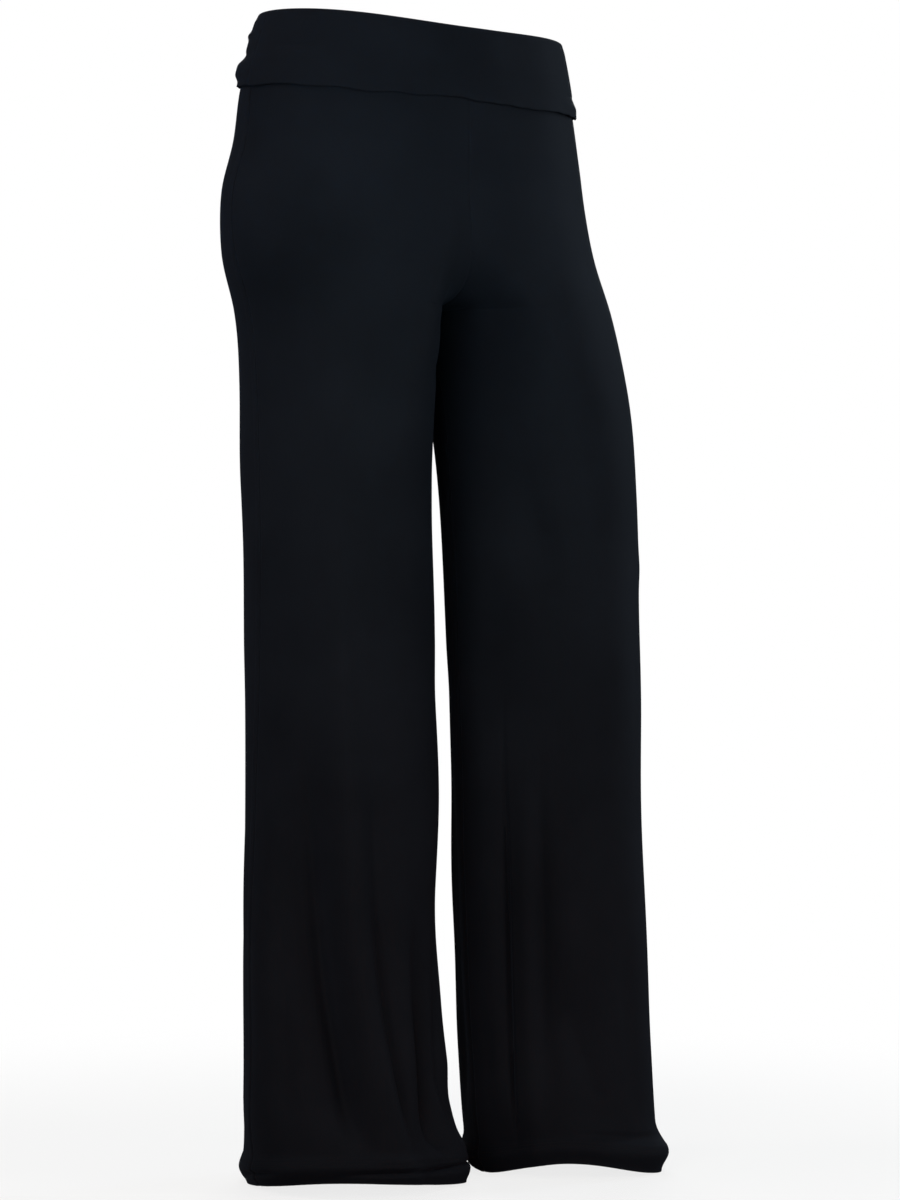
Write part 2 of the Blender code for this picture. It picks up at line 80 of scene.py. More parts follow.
# Folds down each leg: share of the cloth from the side seam to the inseam at the top, the middle and
# the bottom (negative round the back), drop at top and bottom, half width on the side seam's side
# and on the inseam's, height. Those that end at the hem run on through it.
end = cut["length"] + 0.02
legFolds = {
    "right": (
        (0.205, 0.252, 0.385, 0.60, 1.05, 0.026, 0.022, -0.0120),
        (0.320, 0.385, 0.515, 0.44, end, 0.024, 0.014, 0.0110),
        (0.430, 0.475, 0.600, 0.62, 1.05, 0.011, 0.020, -0.0110),
        (0.530, 0.560, 0.620, 0.70, 1.02, 0.016, 0.018, 0.0030),
        (0.640, 0.665, 0.700, 0.78, 1.05, 0.017, 0.024, -0.0140),
        (0.780, 0.785, 0.800, 0.95, end, 0.026, 0.027, 0.0130),
        (0.090, 0.080, 0.070, 0.66, 1.05, 0.026, 0.026, 0.0055),
        (-0.240, -0.225, -0.200, 0.56, 1.05, 0.024, 0.018, -0.0140),
        (-0.400, -0.390, -0.380, 0.44, end, 0.026, 0.022, 0.0100),
        (-0.570, -0.560, -0.540, 0.60, 1.04, 0.016, 0.022, -0.0130),
        (-0.760, -0.745, -0.740, 0.68, end, 0.024, 0.024, 0.0085),
        # narrower creases beside the broad folds
        (0.222, 0.262, 0.386, 0.62, 1.050, 0.0065, 0.018, -0.0056),
        (0.440, 0.478, 0.590, 0.68, 1.040, 0.005, 0.008, -0.0032),
        (0.350, 0.362, 0.440, 0.56, 0.960, 0.010, 0.012, 0.0014),
        (0.655, 0.675, 0.705, 0.86, 1.050, 0.007, 0.010, -0.0055),
        (0.680, 0.695, 0.725, 0.82, 1.030, 0.009, 0.018, -0.0045),
        (0.785, 0.792, 0.806, 0.80, 1.035, 0.010, 0.014, -0.0078),
        (0.850, 0.850, 0.860, 0.79, 0.985, 0.030, 0.030, 0.0045),
        (0.870, 0.870, 0.870, 0.34, 0.620, 0.030, 0.030, 0.0012),
        (0.145, 0.150, 0.175, 0.70, 1.030, 0.012, 0.009, -0.0022),
        (0.300, 0.325, 0.430, 0.82, 1.050, 0.009, 0.008, -0.0020),
        (0.600, 0.610, 0.640, 0.92, 1.045, 0.007, 0.009, -0.0020),
        (-0.110, -0.125, -0.150, 0.62, 1.020, 0.008, 0.012, -0.0026),
        (-0.250, -0.235, -0.205, 0.66, 1.040, 0.006, 0.010, -0.0030),
        (-0.330, -0.325, -0.310, 0.78, 1.030, 0.012, 0.008, 0.0018),
        (-0.480, -0.490, -0.500, 0.54, 0.960, 0.010, 0.007, -0.0022),
        (-0.590, -0.570, -0.545, 0.70, 1.035, 0.006, 0.010, -0.0034),
        (-0.680, -0.670, -0.655, 0.84, 1.020, 0.009, 0.007, -0.0020),
        (-0.850, -0.860, -0.880, 0.50, 0.960, 0.010, 0.009, -0.0024),
    ),
    "left": (
        (0.820, 0.822, 0.832, 0.58, 1.045, 0.012, 0.009, -0.0014),
        (0.890, 0.880, 0.880, 0.66, 1.040, 0.016, 0.016, 0.0045),
        (0.698, 0.705, 0.725, 0.62, 1.030, 0.014, 0.010, -0.0045),
        (0.755, 0.760, 0.770, 0.64, end, 0.012, 0.012, 0.0025),
        (0.750, 0.700, 0.630, 0.38, 0.560, 0.026, 0.024, -0.0036),
        (0.640, 0.580, 0.510, 0.84, 1.040, 0.024, 0.024, -0.0065),
        (0.370, 0.350, 0.340, 0.70, end, 0.030, 0.030, 0.0060),
        (0.330, 0.325, 0.310, 1.01, end, 0.034, 0.030, 0.0070),
        (0.180, 0.190, 0.200, 0.62, 1.050, 0.022, 0.022, -0.0070),
        (-0.180, -0.175, -0.170, 0.64, 1.05, 0.022, 0.018, -0.0120),
        (-0.360, -0.345, -0.330, 0.48, end, 0.026, 0.024, 0.0100),
        (-0.520, -0.520, -0.530, 0.58, 1.04, 0.016, 0.022, -0.0120),
        (-0.720, -0.710, -0.700, 0.54, end, 0.024, 0.024, 0.0065),
        (-0.900, -0.890, -0.880, 0.60, 1.04, 0.018, 0.016, -0.0050),
        # narrower creases beside the broad folds
        (0.820, 0.823, 0.832, 0.58, 1.050, 0.0028, 0.0019, -0.0056),
        (0.698, 0.706, 0.724, 0.63, 0.965, 0.005, 0.004, -0.0024),
        (0.655, 0.600, 0.530, 0.88, 1.000, 0.009, 0.013, -0.0020),
        (0.755, 0.700, 0.640, 0.39, 0.510, 0.010, 0.014, -0.0010),
        (0.440, 0.430, 0.420, 0.80, 1.030, 0.012, 0.009, -0.0020),
        (0.250, 0.255, 0.270, 0.88, 1.040, 0.010, 0.012, -0.0020),
        (-0.090, -0.085, -0.080, 0.72, 1.020, 0.010, 0.008, -0.0022),
        (-0.190, -0.180, -0.170, 0.70, 1.040, 0.010, 0.006, -0.0030),
        (-0.290, -0.275, -0.260, 0.58, 0.980, 0.008, 0.010, 0.0016),
        (-0.440, -0.450, -0.470, 0.64, 1.010, 0.007, 0.010, -0.0022),
        (-0.530, -0.530, -0.540, 0.68, 1.035, 0.010, 0.006, -0.0032),
        (-0.640, -0.625, -0.610, 0.80, 1.030, 0.008, 0.008, -0.0018),
        (-0.830, -0.820, -0.800, 0.50, 0.930, 0.010, 0.008, -0.0022),
        (-0.870, -0.870, -0.870, 0.34, 0.620, 0.030, 0.030, 0.0014),
    ),
}

# Creases across the cloth: share at both ends, drop at both ends, half width, height.
crossCreases = {
    "right": (
        (0.28, 0.84, 1.050, 1.040, 0.0028, -0.0060),
        (0.56, 0.90, 1.046, 1.037, 0.0022, -0.0050),
        (0.54, 0.96, 1.034, 1.018, 0.0100, 0.0030),
        (0.30, 0.84, 1.036, 1.028, 0.0050, 0.0020),
        (-0.12, 0.14, 1.046, 1.044, 0.0028, -0.0036),
        (-0.64, -0.20, 1.045, 1.048, 0.0030, -0.0040),
        (-0.95, -0.72, 1.042, 1.046, 0.0030, -0.0030),
        (0.60, 0.97, 0.288, 0.243, 0.0085, -0.0010),
        (0.42, 0.93, 0.352, 0.296, 0.0110, -0.0014),
        (-0.96, -0.55, 0.290, 0.345, 0.0110, -0.0026),
        (-0.93, -0.48, 0.322, 0.410, 0.0130, -0.0020),
    ),
    "left": (
        (0.26, 0.66, 1.022, 1.028, 0.0045, -0.0024),
        (0.02, 0.30, 1.046, 1.043, 0.0035, -0.0030),
        (-0.50, -0.10, 1.045, 1.043, 0.0035, -0.0036),
        (-0.92, -0.60, 1.044, 1.047, 0.0030, -0.0030),
        (0.66, 0.97, 0.300, 0.246, 0.0120, -0.0008),
        (-0.96, -0.58, 0.286, 0.350, 0.0110, -0.0026),
        (-0.92, -0.50, 0.330, 0.425, 0.0130, -0.0020),
        (0.16, 0.46, 0.494, 0.516, 0.0160, 0.0012),
    ),
}

foldForm = {
    "topWidth": 0.75,  # a fold's width at its top, as a share of the table's
    "widening": 0.4,  # what that share gains on the way down
    "swell": 0.55,  # share of the length in which a fold comes up
    "fade": 0.8,  # share where it starts to fade, if it ends above the hem
    "crossSwell": 0.7,  # share of the half length in which a crease across comes up
}

# The hem rises by lift over the foot, in a bump about the share way, and breaks on the floor in a
# soft roll. Its edge is tucked in all round, and more deeply beside the left leg's side seam.
hems = {
    "right": {"way": 0.35, "span": 0.56, "lift": 0.014, "roll": 0.0045, "tuck": 0.0018, "sideTuck": 0},
    "left": {"way": 0.66, "span": 0.36, "lift": 0.0145, "roll": 0.0040, "tuck": 0.0004, "sideTuck": 0.0084},
}
hemForm = {
    "liftDepth": 0.090,
    "rollPlace": 0.015,  # the roll's middle, above the edge
    "rollDepth": 0.009,
    "rollWander": 0.35,  # share of its height by which it swells and sinks
    "rollWaves": (1.0, 1.25, 0.6),  # slow and quick waves along one panel, and a phase
    "tuckDepth": 0.009,
    "sideTuckDepth": 0.024,
    "sideTuckWay": 0.18,
    "sideTuckSpan": 0.40,
}

panelSigns = {"front": 1, "back": -1}
sideSigns = {"right": -1, "left": 1}
pairs = [(leg, panel) for leg in ("right", "left") for panel in ("front", "back")]
least = {"length": 1e-12, "gap": 1e-5, "turn": 1e-6, "apart": 1e-7}  # these keep divisions off 0
arcSteps = 901  # points along a ring, before they are spaced out


def ease(value, start, stop):  # 0 before start, 1 after stop, a smooth step between them
    t = np.clip((value - start) / (stop - start), 0, 1)
    return t * t * (3 - 2 * t)


def bump(value, middle, halfSpan):  # 1 at the middle, down to 0 at halfSpan to both sides, a cosine wave
    return 0.5 + 0.5 * np.cos(np.pi * np.clip(np.abs(value - middle) / halfSpan, 0, 1))


def bell(apart, width):  # 1 in the middle, a Gaussian curve that is down to 1/e at width
    return np.exp(-((apart / width) ** 2))


def unit(vectors):  # each vector over its length
    return vectors / np.maximum(np.linalg.norm(vectors, axis=-1, keepdims=True), least["length"])


def column(drop, name):  # a column of bodyRings as cubic pieces with slopes from the rows beside
    drops, values = bodySections["drop"], bodySections[name]
    slopes = np.gradient(values, drops)
    row = np.clip(np.searchsorted(drops, drop) - 1, 0, len(drops) - 2)
    span = drops[row + 1] - drops[row]
    t = (drop - drops[row]) / span
    start = values[row] * (2 * t**3 - 3 * t**2 + 1) + slopes[row] * span * (t**3 - 2 * t**2 + t)
    return start + values[row + 1] * (3 * t**2 - 2 * t**3) + slopes[row + 1] * span * (t**3 - t**2)


def evenly(x, y, way):  # the points at these shares of each row's length, all rows in one interpolation
    steps = np.hypot(np.diff(x), np.diff(y))
    travel = np.concatenate([np.zeros((len(x), 1)), np.cumsum(steps, axis=1)], axis=1)
    rows = 2.0 * np.arange(len(x))[:, None]
    keys = (travel / travel[:, -1:] + rows).ravel()
    wanted = (way + rows).ravel()
    return [np.interp(wanted, keys, values.ravel()).reshape(len(x), len(way)) for values in (x, y)]


# A ring is a quarter ellipse outside its centre and up to another quarter inside it. Distance across
# is the long side of a right triangle whose short side is the crotch's rounding.
def bodyPoints(drop, way, leg, panel):
    drop = drop[:, None]
    rounding = cut["crotchRounding"]
    reach = np.hypot(column(drop, "outer" + leg.title()), rounding)
    gap = np.hypot(column(drop, "gap" + leg.title()), rounding) - rounding + least["gap"]
    below = np.maximum(drop - cut["rise"], 0)
    parted = 1 - np.exp(-(below**2) / (below + cut["gapStart"]) / (cut["gapEase"] * gap))
    inner = rounding + gap * parted
    centre = rounding * ease(drop, 0, cut["splitDrop"])
    centre += ((reach + inner) / 2 - rounding) * ease(drop, cut["splitDrop"], cut["settledDrop"])
    outward = reach - centre
    turned = (drop - cut["splitDrop"]) / (cut["rise"] - cut["splitDrop"])
    turned = np.clip(turned, least["turn"], 1) ** cut["turnEase"]
    inward = np.where(drop > cut["rise"], centre - inner, (centre - rounding) / turned)
    stop = np.where(drop > cut["splitDrop"], -turned, (rounding - centre) / outward)
    side = column(drop, "side")
    depth = (column(drop, panel) - side) / np.sqrt(1 - np.maximum(stop, 0) ** 2)
    angle = np.linspace(0, 1, arcSteps) * np.arccos(stop)
    across = centre + np.where(np.cos(angle) > 0, outward, inward) * np.cos(angle)
    x = np.sqrt(np.maximum(across**2 - rounding**2, 0)) * sideSigns[leg] + column(drop, "lean")
    x, y = evenly(x, side + depth * np.sin(angle), way)
    z = (cut["tiltLeft"] * x + cut["tiltBack"] * y) * (1 - ease(drop, cut["bandDepth"], cut["tiltEndDrop"]))
    middle, span, lift = cut["rises"][leg]
    z = z + lift * bump(way * panelSigns[panel], middle, span) * (1 - ease(drop, 0, cut["riseDepth"]))
    return np.stack([x, y, z - drop], axis=2)


# Outward directions of all four panels: the cross product of the ways along and down the cloth, with
# the neighbour's points used at every seam so that both sides agree.
def outwards(surface, drop):
    below = drop > cut["rise"] + least["apart"]
    atCrotch = np.abs(drop - cut["rise"]) < least["apart"]
    result = {}
    for (leg, panel), points in surface.items():
        behind = surface[leg, {"front": "back", "back": "front"}[panel]]
        beside = surface[{"right": "left", "left": "right"}[leg], panel]
        along = np.empty_like(points)
        along[:, 1:-1] = points[:, 2:] - points[:, :-2]
        along[:, 0] = points[:, 1] - behind[:, 1]
        along[:, -1] = np.where(below[:, None], behind[:, -2], beside[:, -2]) - points[:, -2]
        down = np.gradient(points, axis=0)
        found = unit(np.cross(along, down) * sideSigns[leg] * panelSigns[panel])
        found[atCrotch, -1] = (0, 0, -1)
        result[leg, panel] = found
    return result


# The sum of soft ridges and troughs. Each follows a parabola through its three shares, is a bell
# across that line, wider on one side than the other, swells and widens from its top, and fades.
def foldRelief(drop, way, halfGirth, leg):
    drop = drop[:, None]
    height = np.zeros((len(drop), len(way)))
    for first, middle, last, dropTop, dropBottom, sideWidth, seamWidth, tall in legFolds[leg]:
        t = (drop - dropTop) / (min(dropBottom, cut["length"]) - dropTop)
        along = np.clip(t, 0, 1)
        centre = first + (4 * middle - 3 * first - last) * along + 2 * (first - 2 * middle + last) * along**2
        apart = ((way - centre + 1) % 2 - 1) * halfGirth
        width = np.where(apart * np.sign(first) < 0, sideWidth, seamWidth)
        width = width * (foldForm["topWidth"] + foldForm["widening"] * along)
        fade = 1 if dropBottom > cut["length"] else 1 - ease(t, foldForm["fade"], 1)
        height += tall * bell(apart, width) * ease(t, 0, foldForm["swell"]) * fade
    for wayStart, wayStop, dropStart, dropStop, width, tall in crossCreases[leg]:
        t = (way - wayStart) / (wayStop - wayStart)
        apart = drop - (dropStart + (dropStop - dropStart) * t)
        span = np.clip(1 - np.abs(2 * t - 1), 0, 1)
        height += tall * bell(apart, width) * ease(span, 0, foldForm["crossSwell"])
    return height


# The hem's break: a roll that is a bell above the edge and swells and sinks along it, less two tucks.
def hemBreak(drop, way, leg):
    hem = hems[leg]
    above = cut["length"] - drop[:, None]
    slow, quick, phase = hemForm["rollWaves"]
    waves = np.sin(2 * np.pi * slow * way + phase) * np.sin(2 * np.pi * quick * (way + 1))
    roll = hem["roll"] * bell(above - hemForm["rollPlace"], hemForm["rollDepth"])
    tuck = hem["tuck"] * (1 - ease(above, 0, hemForm["tuckDepth"]))
    sideTuck = hem["sideTuck"] * (1 - ease(above, 0, hemForm["sideTuckDepth"]))
    sideTuck = sideTuck * bump(way, hemForm["sideTuckWay"], hemForm["sideTuckSpan"])
    return roll * (1 + hemForm["rollWander"] * waves) - tuck - sideTuck


def hemLift(drop, way, leg):  # the edge's rise over the foot, a cosine bump that fades up the leg
    hem = hems[leg]
    low = ease(drop[:, None], cut["length"] - hemForm["liftDepth"], cut["length"])
    return hem["lift"] * low * bump(way, hem["way"], hem["span"])


softness = {
    "height": 0.00028,
    "waves": (  # along X, Y and Z, and a phase
        (41, 23, 12, 0.3),
        (-29, 52, 19, 1.7),
        (63, -37, 31, 4.1),
        (17, 71, -44, 2.6),
        (88, 47, 9, 5.2),
    ),
}


# Slight unevenness that depends only on the place in space, so seams agree: a sum of slow sines.
def unevenness(points):
    height = np.zeros(points.shape[:2])
    for kx, ky, kz, phase in softness["waves"]:
        height += np.sin(points @ np.array([kx, ky, kz]) + phase)
    return softness["height"] * height


seam = {
    "groove": 0.0007,
    "grooveWidth": 0.0013,
    "allowance": (0.007, 0.009),  # it thins out between these distances
    "ridge": 0.00030,
    "pucker": 0.00018,
    "puckerReach": 0.006,
    "puckerBeats": (610, 47, 83),  # the gathers, their drift, and their swelling and sinking
    "puckerDrift": 2.2,
    "phases": (0.0, 2.1),  # at the side seam, and at the centre seam or inseam
}


# The seam: both pieces turn in at a fine groove, the allowances under the back piece raise it a
# little, and the thread's pull puckers the cloth unevenly beside it, by sines of the drop.
def seamRelief(points, drop, halfGirth, way, panel):
    drop = drop[:, None]
    beat, drift, swell = (drop * each for each in seam["puckerBeats"])
    height = np.zeros(points.shape[:2])
    for share, phase in zip((np.abs(way), 1 - np.abs(way)), seam["phases"]):
        apart = share * halfGirth
        height -= seam["groove"] * bell(apart, seam["grooveWidth"])
        if panel == "back":
            height += seam["ridge"] * (1 - ease(apart, *seam["allowance"]))
        gathers = np.sin(beat + phase + seam["puckerDrift"] * np.sin(drift + phase))
        gathers = gathers * (0.5 + 0.5 * np.sin(swell + 3 * phase))
        height += seam["pucker"] * gathers * np.exp(-apart / seam["puckerReach"])
    return height


legHem = {
    "depth": 0.025,
    "cloth": 0.0021,  # thickness of the turned-up hem
    "turnHalf": 0.001,  # half the depth in which the lining steps in
    "step": 0.0003,  # how far the outside steps out
    "stepSpan": (-0.001, 0.0015),  # where it does so, from the turned-up edge
    "stitchRows": (0.0190, 0.0222),
    "groove": 0.0003,
    "grooveWidth": 0.0011,
    "lip": 0.22,  # the edge's rounding, in shares of the cloth
    "lipRow": 0.001,  # that edge's depth on the flat map
}
jersey = {"thickness": 0.0012, "sharpAngle": 60}  # edges sharper than this many degrees stay crisp


# The hem's seam: a groove that is a bell at each row of stitches, and a smooth step out to the
# turned-up cloth.
def hemSeamRelief(drop, way):
    above = cut["length"] - drop[:, None]
    start, stop = (legHem["depth"] + each for each in legHem["stepSpan"])
    height = legHem["step"] * (1 - ease(above, start, stop))
    for row in legHem["stitchRows"]:
        height = height - legHem["groove"] * bell(above - row, legHem["grooveWidth"])
    return height * np.ones_like(way)


def halfGirths(points):  # each row's length from side seam to centre seam or inseam
    return np.linalg.norm(np.diff(points, axis=1), axis=2).sum(axis=1)[:, None]


# The dressed outside of all four panels at these drops and shares, its outward directions and the
# rows' lengths: the body surface, moved out by folds and hem, and then by seams and unevenness.
def clothSurface(drop, share):
    surface = {pair: bodyPoints(drop, share, *pair) for pair in pairs}
    outward = outwards(surface, drop)
    girth = {pair: halfGirths(surface[pair]) for pair in pairs}
    ways = {pair: share * panelSigns[pair[1]] for pair in pairs}
    for leg, panel in pairs:
        way = ways[leg, panel]
        height = foldRelief(drop, way, girth[leg, panel], leg) + hemBreak(drop, way, leg)
        surface[leg, panel] = surface[leg, panel] + outward[leg, panel] * height[..., None]
        surface[leg, panel][..., 2] += hemLift(drop, way, leg)
    outward = outwards(surface, drop)
    for leg, panel in pairs:
        points = surface[leg, panel]
        height = unevenness(points) + hemSeamRelief(drop, share)
        height += seamRelief(points, drop, girth[leg, panel], ways[leg, panel], panel)
        surface[leg, panel] = points + outward[leg, panel] * height[..., None]
    return surface, outwards(surface, drop), girth


# A closed wall from two faces of cloth, (rows, columns, 3) each. The rows run round from one face
# over the ends of the other, and ladders of faces close the two sides. The sum of triple products,
# which is six times the volume, says which way round the faces go.
def clothWall(name, face, lining, flat):
    rows, columns = face.shape[:2]
    loop = np.concatenate([face, lining[::-1]])
    here = np.arange(2 * rows * columns).reshape(2 * rows, columns)
    after = np.roll(here, -1, axis=0)
    quads = [np.stack([here[:, :-1], after[:, :-1], after[:, 1:], here[:, 1:]], axis=-1).reshape(-1, 4)]
    step = np.arange(rows - 1)
    last = 2 * rows - 1
    ladder = np.stack([step, step + 1, last - step - 1, last - step], axis=-1)
    quads += [here[ladder[:, ::-1], 0], here[ladder, -1]]
    quads = np.concatenate(quads)
    points = loop.reshape(-1, 3)
    a, b, c, d = (points[quads[:, i]] for i in range(4))
    volume = np.einsum("ij,ij->", a, np.cross(b, c)) + np.einsum("ij,ij->", a, np.cross(c, d))
    if volume < 0:
        quads = quads[:, ::-1]
    mesh = bpy.data.meshes.new(name)
    mesh.vertices.add(len(points))
    mesh.vertices.foreach_set("co", points.astype(np.float32).ravel())
    mesh.loops.add(quads.size)
    mesh.loops.foreach_set("vertex_index", quads.astype(np.int32).ravel())
    mesh.polygons.add(len(quads))
    mesh.polygons.foreach_set("loop_start", np.arange(0, quads.size, 4, dtype=np.int32))
    mesh.update(calc_edges=True)
    mesh.validate()
    uv = np.concatenate([flat, flat[::-1]]).reshape(-1, 2)
    mesh.uv_layers.new(name="cloth").uv.foreach_set("vector", uv[quads.ravel()].astype(np.float32).ravel())
    mesh.shade_smooth()
    mesh.set_sharp_from_angle(angle=np.radians(jersey["sharpAngle"]))
    return placed(mesh)


def placed(mesh):  # an object of this mesh and name at the origin
    piece = bpy.data.objects.new(mesh.name, mesh)
    bpy.context.scene.collection.objects.link(piece)
    return piece


def lipRows(face, lining, inset, reach):  # one more row of both, drawn together and carried on by reach
    near = face * (1 - inset) + lining * inset + reach
    far = lining * (1 - inset) + face * inset + reach
    return near[None], far[None]


panelGrid = {
    "columns": 169,
    "crowding": 0.50,  # from 0 to 1, by a sine wave along the share, closer together beside the seams
    "bodyRows": 21,
    "turnRows": 38,
    "underRows": 24,
    "legRows": 152,
    "hemRows": 36,
    "underDepth": 0.100,  # the rows just under the crotch, closer together
    "hemDepth": 0.040,
    "seamGap": 0.0003,  # between the band's inner layer and the panels
}


# Rings closer together at the crotch's turn, by a sine, just under it, by a square, and at the hem.
def panelDrops():
    top = cut["waistSeamDrop"] + panelGrid["seamGap"]
    underEnd = cut["rise"] + panelGrid["underDepth"]
    hemStart = cut["length"] - panelGrid["hemDepth"]
    turn = np.sin(np.linspace(0, np.pi / 2, panelGrid["turnRows"]))
    under = np.linspace(0, 1, panelGrid["underRows"]) ** 2
    return np.concatenate(
        [
            np.linspace(top, cut["splitDrop"], panelGrid["bodyRows"])[:-1],
            cut["splitDrop"] + (cut["rise"] - cut["splitDrop"]) * turn,
            cut["rise"] + panelGrid["underDepth"] * under[1:],
            np.linspace(underEnd, hemStart, panelGrid["legRows"])[1:],
            np.linspace(hemStart, cut["length"], panelGrid["hemRows"])[1:],
        ]
    )


evenShare = np.linspace(0, 1, panelGrid["columns"])
share = evenShare - panelGrid["crowding"] * np.sin(2 * np.pi * evenShare) / (2 * np.pi)
drop = panelDrops()
surface, outward, girth = clothSurface(drop, share)


# One panel's wall: the dressed outside, and a lining one thickness inside it. One more row of both
# rounds the hem's edge, no lower than the floor.
def legPanel(leg, panel):
    outside = surface[leg, panel]
    hemTop = cut["length"] - legHem["depth"]
    turned = ease(drop, hemTop - legHem["turnHalf"], hemTop + legHem["turnHalf"])
    thick = jersey["thickness"] + (legHem["cloth"] - jersey["thickness"]) * turned
    inside = outside - outward[leg, panel] * thick[:, None, None]
    reach = unit(outside[-1] - outside[-2]) * legHem["cloth"] * legHem["lip"]
    faceEdge, liningEdge = lipRows(outside[-1], inside[-1], legHem["lip"], reach)
    face = np.concatenate([outside, faceEdge])
    lining = np.concatenate([inside, liningEdge])
    for side in (face, lining):
        side[-1, :, 2] = np.maximum(side[-1, :, 2], -cut["length"])
    rows = np.append(drop, drop[-1] + legHem["lipRow"])
    across = share * girth[leg, panel] * panelSigns[panel]
    across = np.concatenate([across, across[-1:]])
    flat = np.stack([across, -rows[:, None] * np.ones_like(share)], axis=-1)
    return clothWall(f"jersey_{panel}_panel_{leg}_leg", face, lining, flat)


pieces = {f"{panel}_panel_{leg}_leg": legPanel(leg, panel) for leg, panel in pairs}
print("leg panels made:", len(pieces))

band = {
    "cloth": 0.0013,
    "outerOffset": 0.0022,  # middle of the outer layer, out from the body surface
    "innerOffset": -0.0006,
    "topDrop": 0.0022,  # both layers end here, and the top fold's half circle joins them
    "topLift": 0.0004,  # how much taller than half round the fold is
    "outerRows": 50,
    "turnRows": 11,
    "innerRows": 22,
    "edgeFlare": 0.0008,  # the lower edge stands off the cloth under it
    "flareDepth": 0.014,
    "rollSpan": (0.002, 0.010),  # the rolls come up between these drops
    # rolls along the band: leg, share, half span, drop, half depth, height, and 2 for round or 4 for
    # flat topped
    "rolls": (
        ("right", -0.30, 0.50, 0.053, 0.0085, 0.0050, 4),
        ("right", -0.34, 0.36, 0.021, 0.0030, 0.0030, 2),
        ("right", -0.26, 0.34, 0.0385, 0.0028, -0.0014, 2),
        ("right", 0.24, 0.17, 0.0345, 0.0022, -0.0011, 2),
        ("right", 0.26, 0.20, 0.0420, 0.0060, 0.0009, 2),
        ("right", -0.72, 0.26, 0.028, 0.0034, 0.0012, 2),
        ("right", -0.76, 0.26, 0.057, 0.0060, 0.0014, 2),
        ("right", 0.76, 0.30, 0.050, 0.0080, 0.0006, 2),
        ("left", 0.32, 0.22, 0.060, 0.0050, 0.0018, 2),
        ("left", 0.30, 0.16, 0.050, 0.0020, -0.0008, 2),
        ("left", -0.44, 0.50, 0.047, 0.0090, 0.0038, 4),
        ("left", -0.30, 0.34, 0.020, 0.0050, 0.0022, 2),
        ("left", -0.50, 0.36, 0.0335, 0.0026, -0.0012, 2),
        ("left", 0.74, 0.30, 0.034, 0.0070, 0.0006, 2),
    ),
    "wander": 0.0009,  # how unevenly the lower edge runs
    "wanderDepth": 0.020,
    "wanderWaves": ((47, 31, 0, 1), (103, -71, 1.3, 0.6), (231, 187, 0, 0.35)),  # along X and Y, phase, size
    "arch": 0.0025,  # the lower edge rises a little at the centre front
    "archPlace": 0.005,
    "archSpan": 0.100,
    "archStart": 0.030,
    "grooveWidth": 0.0014,
    "lip": 0.35,  # reach of the lower edge's rounding, in shares of the cloth
    "lipInset": 0.25,
    "rowStep": 0.0014,  # of the flat map
}


# The rolls summed, each a bell across its line with cosine ends.
def bandRelief(drop, way, leg):
    height = np.zeros((len(drop), len(way)))
    for rollLeg, rollWay, span, rollDrop, halfDepth, tall, sharp in band["rolls"]:
        if rollLeg == leg:
            across = np.abs(drop - rollDrop) / halfDepth
            height += tall * np.exp(-(across**sharp)) * bump(way, rollWay, span)
    return height


# The band's path from its lower edge up the outer layer, over the top in a half circle, and down the
# inner layer: drop, offset out from the body surface, lift, how far the cloth faces out and up, and
# how much of the rolls, the wander and the arch each place has. Every value is a column.
def bandPath():
    bottom = cut["bandDepth"]
    radius = (band["outerOffset"] - band["innerOffset"]) / 2
    middle = (band["outerOffset"] + band["innerOffset"]) / 2
    outer = np.linspace(bottom, band["topDrop"], band["outerRows"])
    turn = np.linspace(0, np.pi, band["turnRows"] + 2)[1:-1]
    inner = np.linspace(band["topDrop"], cut["waistSeamDrop"], band["innerRows"])
    flared = band["outerOffset"] + band["edgeFlare"] * ease(outer, bottom - band["flareDepth"], bottom)
    parts = {
        "drop": (outer, np.full(len(turn), band["topDrop"]), inner),
        "offset": (flared, middle + radius * np.cos(turn), np.full(len(inner), band["innerOffset"])),
        "lift": (0 * outer, (radius + band["topLift"]) * np.sin(turn), 0 * inner),
        "out": (np.ones(len(outer)), np.cos(turn), -np.ones(len(inner))),
        "up": (0 * outer, np.sin(turn), 0 * inner),
        "rolled": (ease(outer, *band["rollSpan"]), 0 * turn, 0 * inner),
        "wander": (ease(outer, bottom - band["wanderDepth"], bottom), 0 * turn, 0 * inner),
        "arch": (ease(outer, band["archStart"], bottom), 0 * turn, 0 * inner),
    }
    return {name: np.concatenate(values)[:, None] for name, values in parts.items()}


